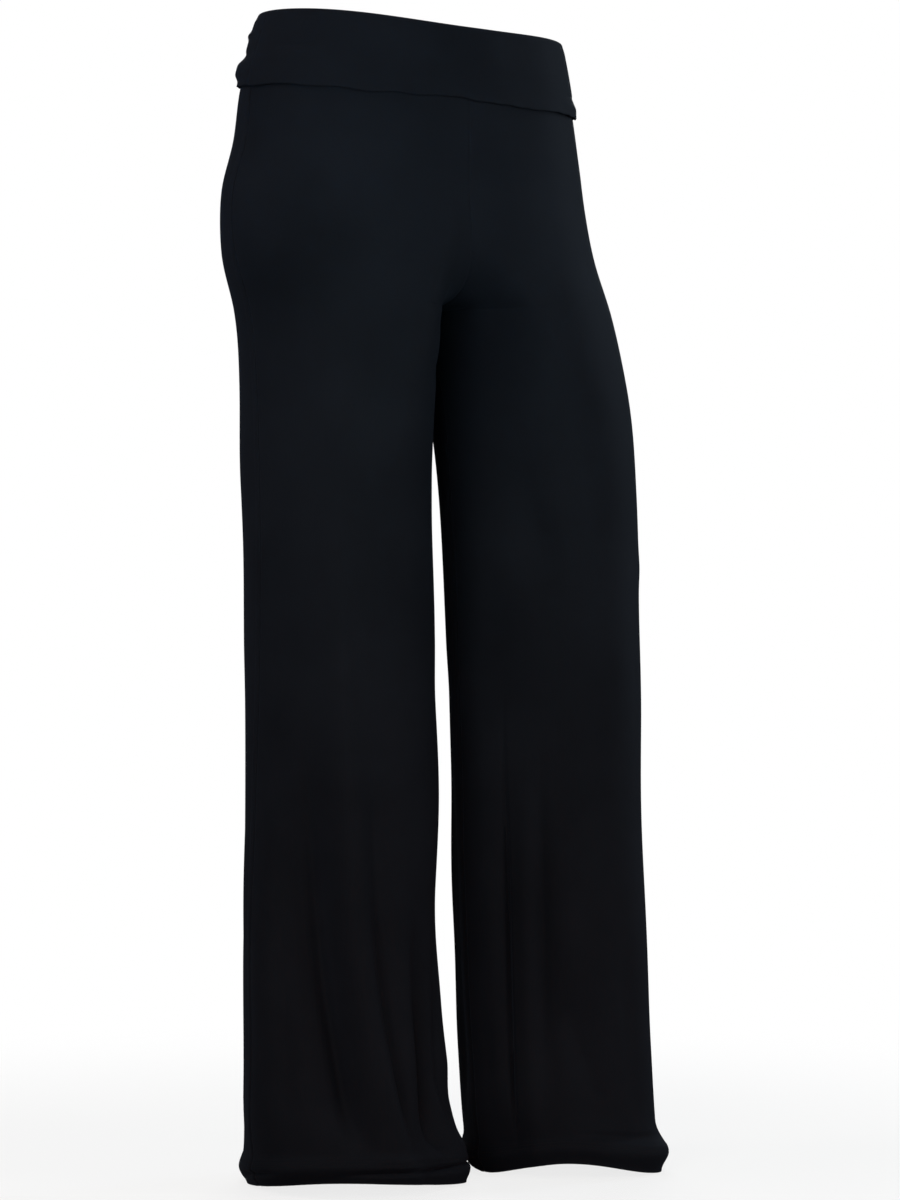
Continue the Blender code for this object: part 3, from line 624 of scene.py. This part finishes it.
# One half of the band: one sheet of cloth carried along the path, its two faces half a thickness
# either side of it, from the right side seam to the left.
def bandHalf(panel):
    path = bandPath()
    levels, level = np.unique(np.round(path["drop"].ravel(), 9), return_inverse=True)  # each drop once
    body = {pair: bodyPoints(levels, share, *pair) for pair in pairs}
    bodyOut = outwards(body, levels)
    way = share * panelSigns[panel]
    halves = []
    for leg in ("right", "left"):
        out = bodyOut[leg, panel][level]
        upward = unit(body[leg, panel][0] - body[leg, panel][2])[None]
        halfGirth = halfGirths(body[leg, panel])[level]
        height = path["offset"] + bandRelief(path["drop"], way, leg) * path["rolled"]
        points = body[leg, panel][level] + out * height[..., None] + upward * path["lift"][..., None]
        apart = share * halfGirth
        groove = seam["groove"] * bell(apart, band["grooveWidth"]) * path["rolled"]
        points = points - out * (groove - unevenness(points) * path["rolled"])[..., None]
        x, y = points[..., 0], points[..., 1]
        wander = sum(size * np.sin(kx * x + ky * y + phase) for kx, ky, phase, size in band["wanderWaves"])
        points[..., 2] += band["wander"] * wander * path["wander"]
        if panel == "front":
            fromCentre = (1 - share) * halfGirth * sideSigns[leg]
            raised = bump(fromCentre, band["archPlace"], band["archSpan"]) * path["arch"]
            points[..., 2] += band["arch"] * raised
        across = unit(out * path["out"][..., None] + upward * path["up"][..., None]) * band["cloth"] / 2
        face, lining = points + across, points - across
        reach = unit(points[0] - points[1]) * band["cloth"] * band["lip"]
        faceEdge, liningEdge = lipRows(face[0], lining[0], band["lipInset"], reach)
        halves.append((np.concatenate([faceEdge, face]), np.concatenate([liningEdge, lining]), apart))
    right, left = halves
    face, lining = (np.concatenate([right[i], left[i][:, -2::-1]], axis=1) for i in (0, 1))
    apart = np.concatenate([right[2], (2 * left[2][:, -1:] - left[2])[:, -2::-1]], axis=1)
    apart = np.concatenate([apart[:1], apart])
    rows = band["rowStep"] * np.arange(len(apart))[:, None]
    flat = np.stack([apart, rows * np.ones(apart.shape[1])], axis=-1)
    return clothWall("jersey_waistband_" + panel, face, lining, flat)


for panel in ("front", "back"):
    pieces["waistband_" + panel] = bandHalf(panel)
print("band made, two halves")

stitch = {
    "pitch": 0.0031,
    "length": 0.0025,
    "width": 0.0005,
    "height": 0.00018,
    "standOff": 0.0001,  # its middle line above the cloth
    "rings": (-0.5, -0.3, 0.3, 0.5),  # along the stitch, in shares of its length
    "swell": (0.35, 1.0, 1.0, 0.35),  # the thread's thickness at those rings
    "sides": 6,
    "near": 0.0008,  # distance to the neighbours that give a direction
    "fineSteps": 401,  # points round each panel's hem
}


def alongLine(values, travel, at):  # rows of values at these distances round a closed line
    return np.stack([np.interp(at % travel[-1], travel, values[:, i]) for i in range(3)], axis=1)


# Where a leg's stitches lie, as points, ways up from the cloth and ways along the hem. Each row of
# stitching is a ring round both panels, shared out evenly, and the second is half a stitch on.
def stitchPlaces(leg):
    rowDrops = [cut["length"] - row for row in legHem["stitchRows"]]
    steps = (-stitch["near"], 0, stitch["near"])
    levels = np.array(sorted(row + step for row in rowDrops for step in steps))
    found, foundOut, _ = clothSurface(levels, np.linspace(0, 1, stitch["fineSteps"]))
    points, ups, alongs = [], [], []
    for number, rowDrop in enumerate(rowDrops):
        row = int(np.argmin(np.abs(levels - rowDrop)))
        ring = np.concatenate([found[leg, "front"][row], found[leg, "back"][row][-2::-1]])
        out = np.concatenate([foundOut[leg, "front"][row], foundOut[leg, "back"][row][-2::-1]])
        travel = np.concatenate([[0], np.cumsum(np.linalg.norm(np.diff(ring, axis=0), axis=1))])
        count = int(travel[-1] / stitch["pitch"])
        at = (np.arange(count) + 0.5 * number) / count * travel[-1] % travel[-1]
        behind, here, ahead = (alongLine(ring, travel, at + step) for step in steps)
        points.append(here)
        ups.append(unit(alongLine(out, travel, at)))
        alongs.append(unit(ahead - behind))
    return (np.concatenate(each)[:, None, None] for each in (points, ups, alongs))


# Each stitch is a flattened capsule on the cloth: rings of a small ellipse that draw in at both
# ends, laid along the hem. All stitches of a leg are one array.
def hemStitches(leg):
    points, ups, alongs = stitchPlaces(leg)
    sides = unit(np.cross(ups, alongs))
    around = np.linspace(0, 2 * np.pi, stitch["sides"], endpoint=False)
    rings = np.array(stitch["rings"])[:, None, None]
    swell = np.array(stitch["swell"])[:, None]
    sideways = (swell * np.cos(around) * stitch["width"] / 2)[..., None] * sides
    upwards = (swell * np.sin(around) * stitch["height"] + stitch["standOff"])[..., None] * ups
    verts = points + rings * stitch["length"] * alongs + sideways + upwards
    grid = np.arange(rings.size * around.size).reshape(rings.size, around.size)
    nextSide = np.roll(grid, -1, axis=1)
    quads = np.stack([grid[:-1], nextSide[:-1], nextSide[1:], grid[1:]], axis=-1).reshape(-1, 4)
    starts = np.arange(len(points)) * grid.size
    faces = (quads[None] + starts[:, None, None]).reshape(-1, 4).tolist()
    for cap in (grid[0, ::-1], grid[-1]):
        faces += (cap[None] + starts[:, None]).tolist()
    mesh = bpy.data.meshes.new(f"hem_stitching_{leg}_leg")
    mesh.from_pydata(verts.reshape(-1, 3).tolist(), [], faces)
    mesh.update()
    mesh.shade_smooth()
    return placed(mesh)


stitching = {leg: hemStitches(leg) for leg in ("right", "left")}
print("hem stitching made")


# A node with its settings and inputs. An input named i0 or i1 goes by its number, and an underscore
# in a name stands for a space. A socket is linked, and any other value is set.
def addNode(tree, kind, settings=None, **inputs):
    node = tree.nodes.new(kind)
    for key, value in (settings or {}).items():
        setattr(node, key, value)
    for key, value in inputs.items():
        numbered = key[0] == "i" and key[1:].isdigit()
        socket = node.inputs[int(key[1:]) if numbered else key.replace("_", " ")]
        if isinstance(value, bpy.types.NodeSocket):
            tree.links.new(value, socket)
        else:
            socket.default_value = value
    return node


def mathNode(tree, operation, **inputs):  # the result of one sum, product or sine
    return addNode(tree, "ShaderNodeMath", {"operation": operation}, **inputs).outputs[0]


def newMaterial(name):  # a material, its node tree and its shader
    material = bpy.data.materials.new(name)
    material.use_nodes = True
    return material, material.node_tree, material.node_tree.nodes["Principled BSDF"]


def setInputs(shader, values):  # constants on the shader's own sockets
    for name, value in values.items():
        shader.inputs[name].default_value = value


def ramp(tree, factor, dark, light, start=0.0, stop=1.0):  # from dark at start to light at stop
    node = addNode(tree, "ShaderNodeValToRGB", Fac=factor)
    for element, position, colour in zip(node.color_ramp.elements, (start, stop), (dark, light)):
        element.position = position
        element.color = colour
    return node.outputs["Color"]


jerseyLook = {
    "dark": (0.0040, 0.0048, 0.0070, 1),
    "light": (0.0062, 0.0074, 0.0105, 1),
    "mottle": {"Scale": 9.0, "Detail": 3.0, "Roughness": 0.55},
    "mottleRange": (0.30, 0.72),
    "wale": 0.0011,  # pitch of the knit's columns
    "course": 0.0008,
    "courseShare": 0.4,  # the courses' depth, of the wales'
    "fibre": {"Scale": 900.0, "Detail": 2.0, "Roughness": 0.6},
    "relief": {"Strength": 0.35, "Distance": 0.00012},
    "surface": {
        "Roughness": 0.78,
        "Specular IOR Level": 0.05,
        "Sheen Weight": 0.02,
        "Sheen Roughness": 0.5,
        "Sheen Tint": (0.55, 0.68, 1.0, 1),
    },
}


# Fine knit: ribs along the wales crossed by the courses, on the cloth's own flat map. The colour
# wanders slowly between two near-blacks, and a finer noise gives the surface its fibre.
def knitJersey(name):
    material, tree, shader = newMaterial(name)
    uv = addNode(tree, "ShaderNodeUVMap", {"uv_map": "cloth"}).outputs["UV"]
    place = addNode(tree, "ShaderNodeTexCoord").outputs["Object"]
    mottle = addNode(tree, "ShaderNodeTexNoise", Vector=place, **jerseyLook["mottle"]).outputs["Fac"]
    colour = ramp(tree, mottle, jerseyLook["dark"], jerseyLook["light"], *jerseyLook["mottleRange"])
    tree.links.new(colour, shader.inputs["Base Color"])
    split = addNode(tree, "ShaderNodeSeparateXYZ", Vector=uv)
    wale = mathNode(tree, "MULTIPLY", i0=split.outputs["X"], i1=2 * np.pi / jerseyLook["wale"])
    wale = mathNode(tree, "SINE", i0=wale)
    course = mathNode(tree, "MULTIPLY", i0=split.outputs["Y"], i1=2 * np.pi / jerseyLook["course"])
    course = mathNode(tree, "SINE", i0=course)
    fibre = addNode(tree, "ShaderNodeTexNoise", Vector=place, **jerseyLook["fibre"]).outputs["Fac"]
    knit = mathNode(tree, "MULTIPLY_ADD", i0=course, i1=jerseyLook["courseShare"], i2=wale)
    knit = mathNode(tree, "ADD", i0=knit, i1=fibre)
    relief = addNode(tree, "ShaderNodeBump", Height=knit, **jerseyLook["relief"])
    tree.links.new(relief.outputs["Normal"], shader.inputs["Normal"])
    setInputs(shader, jerseyLook["surface"])
    return material


threadLook = {
    "dark": (0.0030, 0.0036, 0.0052, 1),
    "light": (0.0052, 0.0060, 0.0085, 1),
    "twist": {"Scale": 2400.0, "Detail": 1.0},
    "surface": {"Roughness": 0.7, "Specular IOR Level": 0.1},
}


def sewingThread(name):  # polyester thread, a little glossier than the cloth, with a fine twist
    material, tree, shader = newMaterial(name)
    place = addNode(tree, "ShaderNodeTexCoord").outputs["Object"]
    twist = addNode(tree, "ShaderNodeTexNoise", Vector=place, **threadLook["twist"]).outputs["Fac"]
    tree.links.new(ramp(tree, twist, threadLook["dark"], threadLook["light"]), shader.inputs["Base Color"])
    setInputs(shader, threadLook["surface"])
    return material


cloth = knitJersey("navy_jersey")
thread = sewingThread("navy_thread")
for name, piece in pieces.items():
    piece.data.materials.append(cloth)
    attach(piece, "root")
    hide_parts(name)
for leg, piece in stitching.items():
    piece.data.materials.append(thread)
    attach(piece, "root")
print("materials on, pieces riding")

studio = {
    "floorHalf": 1.8,
    "floorGap": 0.0005,  # under the hems
    "floorSurface": {"Base Color": (0.88, 0.88, 0.88, 1), "Roughness": 0.9, "Specular IOR Level": 0.1},
    # it thins out into the white between these radii, and is as clear as To_Min in the middle already
    "floorFade": {"From_Min": 0.40, "From_Max": 1.25, "To_Min": 0.80},
    "around": (1.0, 1.0, 1.0, 1),
    "lights": {  # azimuth, elevation, distance, aim height, width, height, power, colour, spread
        "key_softbox": (-45, 5, 2.4, -0.35, 1.2, 1.4, 30, (1.0, 0.96, 0.90), 180),
        "fill_softbox": (35, 5, 2.4, -0.35, 1.2, 1.4, 23, (1.0, 0.97, 0.94), 180),
        "rim_softbox": (94, 16, 2.8, -0.10, 0.6, 1.9, 23, (0.72, 0.86, 1.0), 180),
        "left_softbox": (-104, 30, 2.1, 0.25, 1.0, 1.3, 17, (1.0, 0.88, 0.86), 180),
        "back_softbox": (148, 24, 2.6, -0.05, 1.3, 1.6, 42, (0.96, 1.0, 0.98), 180),
        "top_softbox": (-30, 89, 2.2, 0.0, 3.0, 3.0, 8, (0.88, 0.97, 1.0), 180),
        "low_softbox": (-46, -11, 2.6, -0.28, 1.2, 0.6, 0.5, (0.70, 0.90, 1.0), 40),
        "crotch_softbox": (-10, 2, 2.8, -0.24, 0.9, 0.4, 0.4, (0.50, 0.90, 1.0), 20),
        "band_softbox": (-50, 4, 2.8, -0.03, 0.9, 0.3, 0.24, (0.12, 0.55, 1.0), 16),
        "shin_softbox": (-24, 0, 2.8, -0.92, 0.6, 0.4, 0.14, (1.0, 0.22, 0.08), 20),
    },
}


def paleFloor(name):  # white paint that turns clear with distance from the middle
    material, tree, shader = newMaterial(name)
    setInputs(shader, studio["floorSurface"])
    place = addNode(tree, "ShaderNodeTexCoord").outputs["Object"]
    multiply, measure = {"operation": "MULTIPLY"}, {"operation": "LENGTH"}
    flatPlace = addNode(tree, "ShaderNodeVectorMath", multiply, i0=place, i1=(1, 1, 0)).outputs[0]
    radius = addNode(tree, "ShaderNodeVectorMath", measure, i0=flatPlace).outputs["Value"]
    smooth = {"interpolation_type": "SMOOTHSTEP"}
    fade = addNode(tree, "ShaderNodeMapRange", smooth, Value=radius, **studio["floorFade"]).outputs["Result"]
    clear = addNode(tree, "ShaderNodeBsdfTransparent").outputs[0]
    mixed = addNode(tree, "ShaderNodeMixShader", Fac=fade, i1=shader.outputs[0], i2=clear).outputs[0]
    tree.links.new(mixed, tree.nodes["Material Output"].inputs["Surface"])
    return material


def paleGround():  # a square under the hems, which throws no light up
    mesh = bpy.data.meshes.new("floor")
    half, level = studio["floorHalf"], -cut["length"] - studio["floorGap"]
    corners = [(x * half, y * half, level) for x, y in ((-1, -1), (1, -1), (1, 1), (-1, 1))]
    mesh.from_pydata(corners, [], [(0, 1, 2, 3)])
    mesh.materials.append(paleFloor("pale_floor"))
    ground = placed(mesh)
    ground.visible_diffuse = False
    return ground


floor = paleGround()

world = bpy.data.worlds.new("studio")
bpy.context.scene.world = world
world.use_nodes = True
setInputs(world.node_tree.nodes["Background"], {"Color": studio["around"], "Strength": 1.0})
world.cycles_visibility.diffuse = False  # the softboxes do all the lighting
world.cycles_visibility.glossy = False


# A rectangular lamp that faces the upright axis at its aim height. Its place is that height plus the
# distance along the direction of azimuth, which runs from the front to the wearer's left, and elevation.
def softbox(name, azimuth, elevation, distance, aim, wide, tall, power, colour, spread):
    lamp = bpy.data.lights.new(name, "AREA")
    lamp.shape = "RECTANGLE"
    lamp.size, lamp.size_y, lamp.energy, lamp.color = wide, tall, power, colour
    lamp.spread = np.radians(spread)
    light = bpy.data.objects.new(name, lamp)
    turn, raised = np.radians(azimuth), np.radians(elevation)
    away = np.array([np.sin(turn) * np.cos(raised), -np.cos(turn) * np.cos(raised), np.sin(raised)])
    light.location = away * distance + np.array([0, 0, aim])
    light.rotation_euler = (np.pi / 2 - raised, 0, turn)
    bpy.context.scene.collection.objects.link(light)


for name, settings in studio["lights"].items():
    softbox(name, *settings)

viewpoint = {"place": (-1.7638, -3.1386, -0.529), "turn": -30.0, "lens": 116.13, "sensor": 36}
lens = bpy.data.cameras.new("camera")
lens.lens = viewpoint["lens"]
lens.sensor_width = viewpoint["sensor"]
camera = bpy.data.objects.new("camera", lens)
camera.location = viewpoint["place"]
camera.rotation_euler = (np.radians(90), 0, np.radians(viewpoint["turn"]))
bpy.context.scene.collection.objects.link(camera)
bpy.context.scene.camera = camera
bpy.context.scene.view_settings.view_transform = "Standard"
print("studio set")
